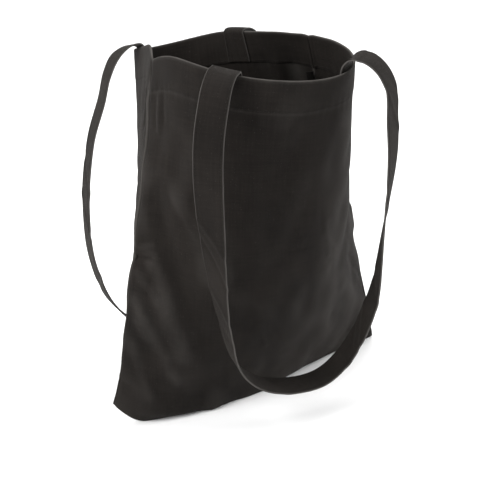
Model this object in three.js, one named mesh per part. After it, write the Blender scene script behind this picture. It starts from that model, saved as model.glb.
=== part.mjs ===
// A plain canvas tote bag with two long handles, standing on its own with its mouth open.
// Two flat panels of canvas are sewn together down both sides and along the bottom.
// The mouth has a wide turned-in hem, and each handle is a strap sewn inside that hem at both ends.
// Units are millimetres. +Z is up, the front panel faces -Y and the origin is on the floor.
import * as THREE from "three";

// ---- the cut sizes of the bag ----
const panelWidth = 374; // flat width of a panel between its side seams
const panelHeight = 418; // flat height of a panel, bottom seam to rim
const canvas = 1.2; // thickness of one layer of body canvas
const hemDepth = 36; // how far the hem is turned down inside the mouth
const seamAllowance = 8; // width of the overlocked edge inside a seam
const seamThickness = 1.6; // thickness of that edge
const seamFoot = 46; // bottom seam to the lower end of a side seam's edge
const seamHead = 2; // lower edge of the hem to its upper end
const bottomSeamInset = 52; // side seam to the end of the bottom seam's edge
const threadWidth = 0.8; // width of a raised row of stitches
const threadHeight = 0.5; // how far a row of stitches stands proud

// ---- the handles ----
const handleWidth = 32; // width of the folded strap
const handleThickness = 2; // thickness of the folded strap
const frontInset = 112; // side seam to the middle of each front handle leg, along the rim
const backInset = 94; // the same on the back
const handleDrop = 357; // apex of a handle down to the bottom of its loop
const handleSewn = 34; // length of strap sewn to the inside of the hem
const frontLeftRise = 6; // height of each apex of a handle above the rim
const frontRightRise = 16;
const backLeftRise = 5.5;
const backRightRise = 4.5;
const tackWidth = 25; // width of the box of stitches that holds a handle end
const tackHeight = 24; // height of that box
const tackRise = 4; // lower end of the strap to the box
const hemStitchRise = 3; // lower edge of the hem to its row of stitches

// ---- clearances ----
const gap = 0.3; // between two pieces that touch
const curveGap = 0.6; // between two curved layers that lie on each other
const seamGap = 0.5; // from a seam line to the edge of each panel
const layGap = 0.2; // from the shape surface to the inside face of a panel
const hingeGap = 0.6; // from a handle's hinge line to the pieces on each side of it

// ---- how the bag stands ----
const mouthOpen = 0.86; // how round the mouth is, from 0, flat, to 1, round
const heightFullyOpen = 0.92; // share of the height at which it is as round as the mouth
const openingPower = 0.8; // below 1 the bag opens faster near the floor
const baseSpread = 0.075; // how much the stuffed base spreads on the floor
const baseHeight = 0.03; // share of the height over which it spreads
const mouthTwist = -0.2; // turn of the mouth against the bottom seam, in radians
const mouthShift = new THREE.Vector2(-13, 20); // middle of the mouth against the bottom seam
const waistShift = new THREE.Vector2(-5, -11); // middle of the bag at half height, besides
const frontHollow = 31; // how much flatter the front stands than the back at half height
const bottomBow = 32; // how far the left bottom corner is pulled back behind the rest
const bowPower = 8; // how near to the corner that starts
const bottomShift = 11; // how far the bottom seam stands to the right of the rest
const bowHeight = 0.4; // share of the height over which that dies out
const mouthOval = { sin: -0.46, cos: 0.18 }; // two-lobed part of the mouth's outline
const mouthEgg = -0.36; // three-lobed part of the mouth's outline
const floorSlack = 1.25; // cloth that spreads faster than 1 / floorSlack lies flat on the floor
const floorShare = 0.1; // share of the height over which that slack dies out
const cornerLift = 21; // how far the left bottom corner curls up off the floor
const cornerReach = 27; // how far that reaches along the bottom seam
const cornerWiden = 0.45; // how much further it reaches for each millimetre up the cloth
const kneeLow = 165; // height up the left seam at which the curl starts to die out
const kneeHigh = 240; // and at which it has, in the fold that takes up the slack

// ---- how finely the surfaces are divided ----
const aroundSteps = 192;
const upSteps = 96;
const rowCrowding = 1.6; // above 1 the rows lie closer together near the floor
const facetWidth = 14.4; // about the width of one facet of a panel
const panelColumns = Math.round(panelWidth / facetWidth);
const bottomRows = [4, 9, 15, 22, 32]; // heights of the first rows of a panel's facets
const plainRows = 14; // rows of facets between those and the hem
const seamSteps = 26;
const bottomSeamSteps = 30;
const handleSteps = 64;
const tabColumns = 6;
const tabRows = 5;
const foldSteps = 7;
const tackSteps = 6;

const perimeter = 2 * panelWidth;
const handleMiddle = -(canvas + curveGap + handleThickness / 2); // strap's middle, inside the hem
const lift = canvas + layGap; // brings the lowest face of the canvas to the floor

// ---- the shape of the standing bag ----

function openness(t) {
  const rising = Math.sin((Math.min(1, t / heightFullyOpen) * Math.PI) / 2) ** openingPower;
  return mouthOpen * rising + baseSpread * (1 - Math.exp(-t / baseHeight)) * (1 - t);
}

// Direction of the outline at share p of the way round, at share t of the height.
function outlineDirection(p, t) {
  const flat = p < 0.5 ? 0 : Math.PI;
  const round = 2 * Math.PI * p - Math.PI / 2;
  const m = openness(t);
  const oval = mouthOval.sin * Math.sin(4 * Math.PI * p) + mouthOval.cos * Math.cos(4 * Math.PI * p);
  const egg = mouthEgg * Math.cos(6 * Math.PI * p);
  return mouthTwist * t + (1 - m) * flat + m * round + t * t * (oval + egg);
}

// One outline of the bag, always as long as its two panels are wide, as plan points.
function outline(t) {
  const step = perimeter / aroundSteps;
  const points = [new THREE.Vector2(0, 0)];
  for (let i = 0; i < aroundSteps; i++) {
    const angle = outlineDirection((i + 0.5) / aroundSteps, t);
    const last = points[i];
    points.push(new THREE.Vector2(last.x + Math.cos(angle) * step, last.y + Math.sin(angle) * step));
  }
  const miss = points[aroundSteps].clone();
  const middle = new THREE.Vector2(0, 0);
  points.forEach((point, i) => point.addScaledVector(miss, -i / aroundSteps));
  points.slice(1).forEach((point) => middle.addScaledVector(point, 1 / aroundSteps));
  const low = Math.max(0, 1 - t / bowHeight) ** 2;
  const waist = 4 * t * (1 - t);
  return points.map((point, i) => {
    const p = i / aroundSteps;
    const x = point.x - middle.x;
    const leftward = Math.max(0, -x / (panelWidth / 2));
    const bowed = low * bottomBow * leftward ** bowPower;
    const flattened = p < 0.5 ? frontHollow * waist * Math.sin(2 * Math.PI * p) : 0;
    const place = new THREE.Vector2(x + bottomShift * low, point.y - middle.y + bowed + flattened);
    return place.addScaledVector(mouthShift, t).addScaledVector(waistShift, waist);
  });
}

// The whole surface: rows of points up the cloth. The cloth doesn't stretch, so each step
// up a thread of it that moves sideways rises less.
function makeShape() {
  const rows = [];
  let previous = null;
  for (let j = 0; j <= upSteps; j++) {
    const t = (j / upSteps) ** rowCrowding;
    const plan = outline(t);
    const along = previous ? (t - previous.t) * panelHeight : 0;
    const points = plan.map((point, i) => {
      if (!previous) return new THREE.Vector3(point.x, point.y, 0);
      const below = previous.points[i];
      const sideways = Math.hypot(point.x - below.x, point.y - below.y);
      const slack = THREE.MathUtils.lerp(floorSlack, 1, THREE.MathUtils.smoothstep(t, 0, floorShare));
      const rise = Math.sqrt(Math.max(0, along ** 2 - (slack * sideways) ** 2));
      return new THREE.Vector3(point.x, point.y, below.z + rise);
    });
    previous = { t, points };
    rows.push(previous);
  }
  return rows;
}

// The left bottom corner curls up off the floor, most at the corner itself.
function curlCorner(rows) {
  for (const { t, points } of rows) {
    const v = t * panelHeight;
    const reach = cornerReach + cornerWiden * v;
    const below = 1 - THREE.MathUtils.smoothstep(v, kneeLow, kneeHigh);
    points.forEach((point, i) => {
      const s = (Math.min(i, aroundSteps - i) / aroundSteps) * perimeter;
      point.z += cornerLift * below * Math.max(0, 1 - s / reach) ** 2;
    });
  }
  return rows;
}

const shape = curlCorner(makeShape());

// Point on the shape, s millimetres round from the left side seam (front first) and v up.
function shapePoint(s, v) {
  const t = THREE.MathUtils.clamp(v / panelHeight, 0, 1);
  const j = Math.min(upSteps - 1, Math.floor(t ** (1 / rowCrowding) * upSteps));
  const lower = shape[j];
  const upper = shape[j + 1];
  const f = (t - lower.t) / (upper.t - lower.t);
  const place = (THREE.MathUtils.euclideanModulo(s, perimeter) / perimeter) * aroundSteps;
  const i = Math.min(aroundSteps - 1, Math.floor(place));
  const across = (row) => row.points[i].clone().lerp(row.points[i + 1], place - i);
  return across(lower).lerp(across(upper), f);
}

// Outward direction at a point of one panel, from that panel's own cloth only.
const reach = 3; // how far to each side the slope of the cloth is taken over

function outward(s, v, panel) {
  const low = panel * panelWidth + 0.01;
  const high = (panel + 1) * panelWidth - 0.01;
  const keep = (value) => THREE.MathUtils.clamp(value, low, high);
  const up = (value) => THREE.MathUtils.clamp(value, 0, panelHeight);
  const across = shapePoint(keep(s + reach), v).sub(shapePoint(keep(s - reach), v));
  const rising = shapePoint(s, up(v + reach)).sub(shapePoint(s, up(v - reach)));
  return across.cross(rising).normalize();
}

// Point at a distance out from the shape. Panel 0 is the front and panel 1 the back.
function clothPoint(s, v, distance, panel) {
  return shapePoint(s, v).addScaledVector(outward(s, v, panel), distance);
}

// ---- mesh helpers ----

function closedMesh(points, triangles) {
  let volume = 0;
  for (const [a, b, c] of triangles) {
    volume += points[a].dot(new THREE.Vector3().crossVectors(points[b], points[c]));
  }
  const faces = volume < 0 ? triangles.map(([a, b, c]) => [a, c, b]) : triangles;
  const geometry = new THREE.BufferGeometry();
  geometry.setAttribute("position", new THREE.Float32BufferAttribute(points.flatMap((p) => p.toArray()), 3));
  geometry.setIndex(faces.flat());
  geometry.computeVertexNormals();
  return geometry;
}

// A plate between two grids of points with the same columns and rows.
function plate(columns, rows, outerPoint, innerPoint) {
  const points = [];
  for (const pointAt of [outerPoint, innerPoint]) {
    for (let j = 0; j <= rows; j++) {
      for (let i = 0; i <= columns; i++) points.push(pointAt(i, j));
    }
  }
  const side = (columns + 1) * (rows + 1);
  const at = (i, j) => j * (columns + 1) + i;
  const triangles = [];
  const quad = (a, b, c, d) => triangles.push([a, b, c], [a, c, d]);
  for (let j = 0; j < rows; j++) {
    for (let i = 0; i < columns; i++) {
      quad(at(i, j), at(i + 1, j), at(i + 1, j + 1), at(i, j + 1));
      quad(side + at(i, j), side + at(i, j + 1), side + at(i + 1, j + 1), side + at(i + 1, j));
    }
  }
  const border = [];
  for (let i = 0; i < columns; i++) border.push(at(i, 0));
  for (let j = 0; j < rows; j++) border.push(at(columns, j));
  for (let i = columns; i > 0; i--) border.push(at(i, rows));
  for (let j = rows; j > 0; j--) border.push(at(0, j));
  border.forEach((a, k) => {
    const b = border[(k + 1) % border.length];
    quad(a, side + a, side + b, b);
  });
  return closedMesh(points, triangles);
}

// A bar through four-cornered sections. A closed ring joins its last section to its first.
function bar(sections, ring = false) {
  const points = sections.flat();
  const triangles = [];
  const quad = (a, b, c, d) => triangles.push([a, b, c], [a, c, d]);
  const last = ring ? sections.length : sections.length - 1;
  for (let k = 0; k < last; k++) {
    const here = 4 * k;
    const next = 4 * ((k + 1) % sections.length);
    for (let c = 0; c < 4; c++) quad(here + c, here + ((c + 1) % 4), next + ((c + 1) % 4), next + c);
  }
  if (!ring) {
    const end = points.length - 4;
    quad(3, 2, 1, 0);
    quad(end, end + 1, end + 2, end + 3);
  }
  return closedMesh(points, triangles);
}

const canvasBlack = 0x24201e;
const threadBlack = 0x2e2a28;

const bag = new THREE.Group();

function add(name, geometry, colour) {
  const material = new THREE.MeshStandardMaterial({ color: colour, roughness: 0.95, metalness: 0 });
  const mesh = new THREE.Mesh(geometry, material);
  mesh.name = name;
  bag.add(mesh);
}

// ---- the panels, each with its own half of the hem ----

function panelRowHeights() {
  const hemEdge = panelHeight - hemDepth;
  const heights = [seamGap, ...bottomRows];
  const first = heights[heights.length - 1];
  for (let k = 1; k <= plainRows; k++) heights.push(first + ((hemEdge - first) * k) / plainRows);
  heights.push(hemEdge + seamGap, panelHeight - hemDepth / 2, panelHeight);
  return heights;
}

// Place round the bag of one column of a panel's points.
function columnPlace(panel, i) {
  const width = panelWidth - 2 * seamGap;
  return panel * panelWidth + seamGap + (width * i) / panelColumns;
}

function makePanel(panel) {
  const heights = panelRowHeights();
  const outer = (i, j) => clothPoint(columnPlace(panel, i), heights[j], layGap + canvas, panel);
  const inner = (i, j) => {
    const inHem = heights[j] > panelHeight - hemDepth;
    return clothPoint(columnPlace(panel, i), heights[j], inHem ? -canvas : layGap, panel);
  };
  return plate(panelColumns, heights.length - 1, outer, inner);
}

// ---- the overlocked edges inside the seams ----

function sideSeam(s) {
  const sections = [];
  const top = panelHeight - hemDepth - seamHead;
  const towardsMiddle = s === 0 ? reach : -reach;
  for (let k = 0; k <= seamSteps; k++) {
    const v = seamFoot + ((top - seamFoot) * k) / seamSteps;
    const frontOut = outward(s, v, 0);
    const backOut = outward(s === 0 ? perimeter : s, v, 1);
    const seam = shapePoint(s, v);
    const ahead = shapePoint(s + towardsMiddle, v).sub(seam).normalize();
    const behind = shapePoint(s - towardsMiddle, v).sub(seam).normalize();
    const inward = ahead.add(behind).sub(frontOut).sub(backOut).normalize();
    const spread = frontOut.clone().sub(backOut).normalize();
    const halfAngle = Math.acos(THREE.MathUtils.clamp(-frontOut.dot(backOut), -1, 1)) / 2;
    const near = (seamThickness / 2 + gap) / Math.sin(halfAngle) + gap;
    const corner = (deep, sign) =>
      seam.clone().addScaledVector(inward, deep).addScaledVector(spread, (sign * seamThickness) / 2);
    const far = near + seamAllowance;
    sections.push([corner(near, 1), corner(far, 1), corner(far, -1), corner(near, -1)]);
  }
  return bar(sections);
}

function bottomSeam() {
  const sections = [];
  for (let k = 0; k <= bottomSeamSteps; k++) {
    const s = THREE.MathUtils.lerp(bottomSeamInset, panelWidth - bottomSeamInset, k / bottomSeamSteps);
    const half = seamAllowance / 2;
    const front = shapePoint(s, half);
    const back = shapePoint(perimeter - s, half);
    const across = back.clone().sub(front);
    across.z = 0;
    const width = Math.min(seamAllowance, across.length() - 2 * layGap - 2 * seamThickness);
    const middle = front.clone().add(back).multiplyScalar(0.5);
    across.normalize();
    const floor = Math.max(front.z, back.z) + gap;
    const corner = (sign, height) => {
      const point = middle.clone().addScaledVector(across, (sign * width) / 2);
      point.z = floor + height;
      return point;
    };
    const high = seamThickness;
    sections.push([corner(-1, 0), corner(1, 0), corner(1, high), corner(-1, high)]);
  }
  return bar(sections);
}

// ---- rows of stitches ----

// The row that holds the hem, right round the bag on its outside.
function hemStitching() {
  const sections = [];
  const low = panelHeight - hemDepth + hemStitchRise;
  const high = low + threadWidth;
  const near = layGap + canvas + gap;
  const far = near + threadHeight;
  for (const panel of [0, 1]) {
    for (let i = 0; i <= panelColumns; i++) {
      const corner = (v, distance) => clothPoint(columnPlace(panel, i), v, distance, panel);
      sections.push([corner(low, near), corner(low, far), corner(high, far), corner(high, near)]);
    }
  }
  return bar(sections, true);
}

// The box of stitches through a handle end, on its inside face.
function tackStitching(end) {
  const sections = [];
  const middle = panelHeight - handleSewn + tackRise + tackHeight / 2;
  const near = handleMiddle - handleThickness / 2 - gap;
  const corners = [[-1, -1], [1, -1], [1, 1], [-1, 1]];
  corners.forEach(([fromX, fromY], side) => {
    const [toX, toY] = corners[(side + 1) % 4];
    for (let k = 0; k < tackSteps; k++) {
      const x = THREE.MathUtils.lerp(fromX, toX, k / tackSteps);
      const y = THREE.MathUtils.lerp(fromY, toY, k / tackSteps);
      const corner = (inset, distance) => {
        const s = end.s + x * (tackWidth / 2 - inset);
        return clothPoint(s, middle + y * (tackHeight / 2 - inset), distance, end.panel);
      };
      const far = near - threadHeight;
      sections.push([
        corner(0, near),
        corner(0, far),
        corner(threadWidth, far),
        corner(threadWidth, near),
      ]);
    }
  });
  return bar(sections, true);
}

// ---- the handles ----

// Where one end of a handle leaves the rim.
function handleEnd(s, panel, rise) {
  const rim = shapePoint(s, panelHeight);
  const along = shapePoint(s + reach, panelHeight).sub(shapePoint(s - reach, panelHeight));
  along.z = 0;
  along.normalize();
  const out = new THREE.Vector3(along.y, -along.x, 0);
  const apex = rim.clone().addScaledVector(out, handleMiddle + rise);
  apex.z += rise;
  return { s, panel, rise, along, out, apex };
}

// The sewn end: up the inside of the hem and a quarter turn over the rim to the hinge line.
function handleSewnEnd(end) {
  const most = Math.asin(1 - hingeGap / end.rise);
  const place = (i, j, face) => {
    const s = end.s + handleWidth * (i / tabColumns - 0.5);
    const distance = handleMiddle + (face * handleThickness) / 2;
    if (j <= tabRows) {
      const v = panelHeight - handleSewn + (handleSewn * j) / tabRows;
      return clothPoint(s, v, distance, end.panel);
    }
    const angle = (most * (j - tabRows)) / foldSteps;
    const radius = end.rise - (face * handleThickness) / 2;
    const foot = clothPoint(s, panelHeight, handleMiddle, end.panel);
    foot.addScaledVector(end.out, end.rise - radius * Math.cos(angle));
    foot.z += radius * Math.sin(angle);
    return foot;
  };
  return plate(
    tabColumns,
    tabRows + foldSteps,
    (i, j) => place(i, j, 1),
    (i, j) => place(i, j, -1),
  );
}

const legsWidth = 374; // the panel width that the hand-set points of the loops are for
const bellyGrowth = 0.2; // how much further out a loop hangs for each millimetre past that
const bellyDepth = 0.3; // share of the drop over which a loop moves out to that distance

// Route of a hanging loop from the apex at its left end to the apex at its right end.
// A point is out from the leg's own end, along the line between the ends, forward of that
// line, and down as a share of the drop.
function loopRoute(left, right, legs) {
  const line = right.apex.clone().sub(left.apex).setZ(0).normalize();
  const forward = new THREE.Vector3(line.y, -line.x, 0);
  if (forward.dot(left.out) < 0) forward.negate();
  const place = (end, [out, along, ahead, down]) => {
    const lower = THREE.MathUtils.smoothstep(down, 0, bellyDepth * handleDrop);
    const further = bellyGrowth * (panelWidth - legsWidth) * lower;
    const point = end.apex.clone().addScaledVector(end.out, out + further);
    point.addScaledVector(line, along).addScaledVector(forward, ahead);
    point.z -= down;
    return point;
  };
  const points = legs.left.map((leg) => place(left, leg));
  legs.right.forEach((leg) => points.push(place(right, leg)));
  return { curve: new THREE.CatmullRomCurve3(points, false, "centripetal"), forward };
}

const dip = { forward: 0.99, down: 0.14 }; // how the width lies round the bottom of a loop
const turnStart = 0.08; // share of a loop, from each end, at which its width starts to turn
const turnEnd = 0.42; // and at which it lies as it does round the bottom

// The free loop of a handle, a flat strap along its route. Its width follows the rim at each
// end and turns square to the loop, with its front edge dipped, round the bottom.
function handleLoop(left, right, legs) {
  const { curve, forward } = loopRoute(left, right, legs);
  const dipped = forward.clone().multiplyScalar(dip.forward);
  dipped.z = -dip.down;
  const facing = (end) => end.along.clone().multiplyScalar(Math.sign(end.along.dot(forward)));
  const leftWidth = facing(left);
  const rightWidth = facing(right);
  const sections = [];
  for (let k = 0; k <= handleSteps; k++) {
    const u = k / handleSteps;
    const width = leftWidth.clone();
    width.lerp(dipped, THREE.MathUtils.smoothstep(u, turnStart, turnEnd));
    width.lerp(rightWidth, THREE.MathUtils.smoothstep(u, 1 - turnEnd, 1 - turnStart));
    const direction = curve.getTangentAt(u);
    width.addScaledVector(direction, -width.dot(direction)).normalize();
    const face = new THREE.Vector3().crossVectors(direction, width);
    const corner = (across, through) =>
      curve
        .getPointAt(u)
        .addScaledVector(width, (across * handleWidth) / 2)
        .addScaledVector(face, (through * handleThickness) / 2);
    sections.push([corner(-1, -1), corner(1, -1), corner(1, 1), corner(-1, 1)]);
  }
  return bar(sections);
}

// Hand-set points of the two loops: out, along, forward and down, in millimetres.
const shoulder = [
  [hingeGap, 0, 0, 0],
  [11, 0, 0, 2],
  [24, 0, 0, 12],
  [34, 0, 0, 32],
  [41, 0, 0, 60],
];

const frontLegs = {
  left: [
    ...shoulder.map(([out, , ahead, down], k) => [out, -2.5 * k, ahead, down]),
    [42, -11, 0, 0.28 * handleDrop],
    [36, -7, 0, 0.5 * handleDrop],
    [26, 1, 2, 0.74 * handleDrop],
    [14, 14, 6, 0.91 * handleDrop],
    [4, 44, 10, 0.99 * handleDrop],
  ],
  right: [
    [8, -52, 6, handleDrop],
    [14, -24, 2, 0.93 * handleDrop],
    [24, -4, 0, 0.76 * handleDrop],
    [33, -2, 0, 0.52 * handleDrop],
    [38, 0, 0, 0.28 * handleDrop],
    [36, 0, 0, 0.17 * handleDrop],
    ...shoulder.slice(0, -1).reverse(),
  ],
};

const backLegs = {
  left: [
    ...shoulder,
    [55, 0, 0, 0.3 * handleDrop],
    [61, -2, 0, 0.5 * handleDrop],
    [58, 0, 0, 0.7 * handleDrop],
    [40, 4, 2, 0.86 * handleDrop],
    [14, 22, 6, 0.97 * handleDrop],
  ],
  right: [
    [4, -42, 6, handleDrop],
    [14, -18, 4, 0.93 * handleDrop],
    [32, -4, 0, 0.76 * handleDrop],
    [42, 0, 0, 0.52 * handleDrop],
    [46, 0, 0, 0.28 * handleDrop],
    ...shoulder.slice().reverse(),
  ],
};

const ends = {
  front_left: handleEnd(frontInset, 0, frontLeftRise),
  front_right: handleEnd(panelWidth - frontInset, 0, frontRightRise),
  back_left: handleEnd(perimeter - backInset, 1, backLeftRise),
  back_right: handleEnd(panelWidth + backInset, 1, backRightRise),
};

add("front_panel", makePanel(0), canvasBlack);
add("back_panel", makePanel(1), canvasBlack);
add("left_side_seam", sideSeam(0), threadBlack);
add("right_side_seam", sideSeam(panelWidth), threadBlack);
add("bottom_seam", bottomSeam(), threadBlack);
add("hem_stitching", hemStitching(), threadBlack);
for (const [name, end] of Object.entries(ends)) {
  add(`${name}_handle_end`, handleSewnEnd(end), canvasBlack);
  add(`${name}_tack_stitching`, tackStitching(end), threadBlack);
}
add("front_handle", handleLoop(ends.front_left, ends.front_right, frontLegs), canvasBlack);
add("back_handle", handleLoop(ends.back_left, ends.back_right, backLegs), canvasBlack);

// The origin is on the floor, under the middle of everything.
const middle = new THREE.Box3().setFromObject(bag).getCenter(new THREE.Vector3());
bag.position.set(-middle.x, -middle.y, lift);

export default bag;
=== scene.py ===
"""A plain black canvas tote bag standing open, with a long hanging handle on each side.

Lengths in the making functions are millimetres; meshes are written in metres.
"""

import math

import bpy
import numpy as np
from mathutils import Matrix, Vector


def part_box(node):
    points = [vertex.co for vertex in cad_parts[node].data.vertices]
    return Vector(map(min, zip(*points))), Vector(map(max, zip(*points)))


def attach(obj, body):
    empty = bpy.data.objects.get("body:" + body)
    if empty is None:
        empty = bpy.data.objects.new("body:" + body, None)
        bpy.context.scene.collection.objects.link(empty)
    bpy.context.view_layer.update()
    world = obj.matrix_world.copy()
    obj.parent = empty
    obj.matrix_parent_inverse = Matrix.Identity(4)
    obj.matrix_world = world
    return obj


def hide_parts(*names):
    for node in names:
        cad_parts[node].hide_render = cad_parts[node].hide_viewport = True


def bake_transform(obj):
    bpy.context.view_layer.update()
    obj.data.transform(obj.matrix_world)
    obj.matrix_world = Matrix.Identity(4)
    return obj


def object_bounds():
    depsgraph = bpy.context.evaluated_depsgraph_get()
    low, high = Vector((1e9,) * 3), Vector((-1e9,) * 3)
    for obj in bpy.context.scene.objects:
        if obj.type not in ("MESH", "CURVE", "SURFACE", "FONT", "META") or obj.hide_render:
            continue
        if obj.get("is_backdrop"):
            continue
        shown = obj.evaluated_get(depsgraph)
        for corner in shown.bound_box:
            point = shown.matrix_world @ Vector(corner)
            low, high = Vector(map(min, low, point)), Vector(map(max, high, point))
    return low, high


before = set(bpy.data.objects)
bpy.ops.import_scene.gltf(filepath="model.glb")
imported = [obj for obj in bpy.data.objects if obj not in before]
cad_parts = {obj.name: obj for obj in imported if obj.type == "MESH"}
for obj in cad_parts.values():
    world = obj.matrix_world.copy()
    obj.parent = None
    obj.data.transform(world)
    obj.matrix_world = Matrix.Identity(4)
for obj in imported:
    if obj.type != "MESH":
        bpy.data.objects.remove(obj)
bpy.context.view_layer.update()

METRES = 0.001  # one millimetre

# ---- cut sizes of the bag ----
PANEL_WIDTH = 374.0
PANEL_HEIGHT = 418.0
CANVAS = 1.2  # thickness of one layer
HEM_DEPTH = 36.0
LAY_GAP = 0.2  # from the shape surface to the inside face of a panel
SEAM_GAP = 0.35  # from a seam line to the edge of each panel
SEAM_ALLOWANCE = 8.0
SEAM_FOOT = 46.0  # height up the cloth at which a side seam's free edge starts
HEM_STITCH_RISE = 3.0  # lower edge of the hem up to its row of stitches
PERIMETER = 2 * PANEL_WIDTH

# ---- handles ----
STRAP_WIDTH = 32.0
STRAP_THICKNESS = 2.0
STRAP_SEWN = 34.0
STRAP_SUNK = -(CANVAS + 0.6 + STRAP_THICKNESS / 2)  # middle of a sewn end, inside the hem
STRAP_DROP = 357.0
TACK_WIDTH = 25.0
TACK_HEIGHT = 24.0
TACK_RISE = 4.0
END_LENGTH = 46.0  # free length that belongs to a handle's end piece, past its apex

# ---- how the bag stands ----
MOUTH_OPEN = 0.86
HEIGHT_FULLY_OPEN = 0.92
OPENING_POWER = 0.8
BASE_SPREAD = 0.075
BASE_HEIGHT = 0.03
MOUTH_TWIST = -0.2
MOUTH_SHIFT = (-13.0, 20.0)
WAIST_SHIFT = (-5.0, -11.0)
FRONT_HOLLOW = 31.0
BOTTOM_BOW = 32.0
BOW_POWER = 8
BOTTOM_SHIFT = 11.0
BOW_HEIGHT = 0.4
MOUTH_OVAL = (-0.46, 0.18)
MOUTH_EGG = -0.36
FLOOR_SLACK = 1.25
FLOOR_SHARE = 0.1
CORNER_LIFT = 21.0
CORNER_REACH = 27.0
CORNER_WIDEN = 0.45
KNEE_LOW = 165.0
KNEE_HIGH = 240.0

AROUND_STEPS = 384
UP_STEPS = 192
ROW_CROWDING = 1.6


def smoothstep(x, low, high):
    u = np.clip((np.asarray(x, float) - low) / (high - low), 0, 1)
    return u * u * (3 - 2 * u)


def bell(x, width):
    return np.exp(-((x / width) ** 2))


def unit(v):
    v = np.asarray(v, float)
    return v / np.maximum(np.linalg.norm(v, axis=-1, keepdims=True), 1e-12)


# ---- the shape of the standing bag ----


def outlines(t):
    """Plan points of the bag's outline at each share t of its height."""
    t = t[:, None]
    p = (np.arange(AROUND_STEPS) + 0.5) / AROUND_STEPS
    rising = np.sin(np.minimum(1, t / HEIGHT_FULLY_OPEN) * math.pi / 2) ** OPENING_POWER
    spread = BASE_SPREAD * (1 - np.exp(-t / BASE_HEIGHT)) * (1 - t)
    m = MOUTH_OPEN * rising + spread
    lobes = (
        MOUTH_OVAL[0] * np.sin(4 * math.pi * p)
        + MOUTH_OVAL[1] * np.cos(4 * math.pi * p)
        + MOUTH_EGG * np.cos(6 * math.pi * p)
    )
    flat = np.where(p < 0.5, 0, math.pi)
    angle = MOUTH_TWIST * t + (1 - m) * flat + m * (2 * math.pi * p - math.pi / 2) + t * t * lobes
    step = PERIMETER / AROUND_STEPS
    xy = np.stack([np.cos(angle), np.sin(angle)], axis=-1) * step
    points = np.concatenate([np.zeros((len(t), 1, 2)), np.cumsum(xy, axis=1)], axis=1)
    share = (np.arange(AROUND_STEPS + 1) / AROUND_STEPS)[None, :]
    points = points - points[:, -1:, :] * share[..., None]
    points = points - points[:, 1:, :].mean(axis=1, keepdims=True)
    low = np.maximum(0, 1 - t / BOW_HEIGHT) ** 2
    waist = 4 * t * (1 - t)
    leftward = np.maximum(0, -points[..., 0] / (PANEL_WIDTH / 2))
    bowed = low * BOTTOM_BOW * leftward**BOW_POWER
    flattened = np.where(share < 0.5, FRONT_HOLLOW * waist * np.sin(2 * math.pi * share), 0)
    x = points[..., 0] + BOTTOM_SHIFT * low + MOUTH_SHIFT[0] * t + WAIST_SHIFT[0] * waist
    y = points[..., 1] + bowed + flattened + MOUTH_SHIFT[1] * t + WAIST_SHIFT[1] * waist
    return np.stack([x, y], axis=-1)


def bag_rows():
    """Heights up the cloth, and the points round the bag at each."""
    t = (np.arange(UP_STEPS + 1) / UP_STEPS) ** ROW_CROWDING
    plan = outlines(t)
    z = np.zeros(plan.shape[:2])
    for j in range(1, UP_STEPS + 1):
        sideways = np.linalg.norm(plan[j] - plan[j - 1], axis=1)
        slack = FLOOR_SLACK + (1 - FLOOR_SLACK) * smoothstep(t[j], 0, FLOOR_SHARE)
        along = (t[j] - t[j - 1]) * PANEL_HEIGHT
        z[j] = z[j - 1] + np.sqrt(np.maximum(0, along**2 - (slack * sideways) ** 2))
    v = t * PANEL_HEIGHT
    i = np.arange(AROUND_STEPS + 1)
    s = np.minimum(i, AROUND_STEPS - i) / AROUND_STEPS * PERIMETER
    reach = CORNER_REACH + CORNER_WIDEN * v[:, None]
    below = 1 - smoothstep(v, KNEE_LOW, KNEE_HIGH)[:, None]
    z += CORNER_LIFT * below * np.maximum(0, 1 - s[None, :] / reach) ** 2
    return v, np.concatenate([plan, z[..., None]], axis=-1)


ROW_HEIGHTS, ROWS = bag_rows()


# How the rim sinks by each side seam, depth and reach, on the front and on the back;
# a depth below nothing raises it.
LEFT_SINK = ((8.5, 42.0), (8.5, 34.0))
RIGHT_SINK = ((-3.5, 14.0), (-3.5, 14.0))
SINK_FROM = 250.0  # height up the cloth at which that starts


def seam_offsets(s):
    """Signed distances round from the left and the right seam, positive on the front panel."""
    return np.where(s > PERIMETER / 2, s - PERIMETER, s), PANEL_WIDTH - s


def rim_sink(s, v):
    """The rim sags where the stiff side seams hold it."""
    sink = np.zeros(s.shape)
    for d, (on_front, on_back) in zip(seam_offsets(s), (LEFT_SINK, RIGHT_SINK)):
        for side, (depth, reach) in ((d >= 0, on_front), (d < 0, on_back)):
            sink = sink + np.where(side, depth * bell(d, reach), 0)
    return sink * smoothstep(v, SINK_FROM, PANEL_HEIGHT)


def base_point(s, v):
    """Points of the bare shape, s round from the left side seam, front first, and v up."""
    s, v = np.broadcast_arrays(np.asarray(s, float), np.asarray(v, float))
    v = np.clip(v, 0, PANEL_HEIGHT)
    place = np.clip(s, 0, PERIMETER) / PERIMETER * AROUND_STEPS
    i = np.minimum(AROUND_STEPS - 1, place.astype(int))
    row = np.interp(v, ROW_HEIGHTS, np.arange(UP_STEPS + 1))
    j = np.minimum(UP_STEPS - 1, row.astype(int))
    f, g = (place - i)[..., None], (row - j)[..., None]
    low = ROWS[j, i] * (1 - f) + ROWS[j, i + 1] * f
    high = ROWS[j + 1, i] * (1 - f) + ROWS[j + 1, i + 1] * f
    point = low * (1 - g) + high * g
    point[..., 2] -= rim_sink(np.clip(s, 0, PERIMETER), v)
    return point


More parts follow.
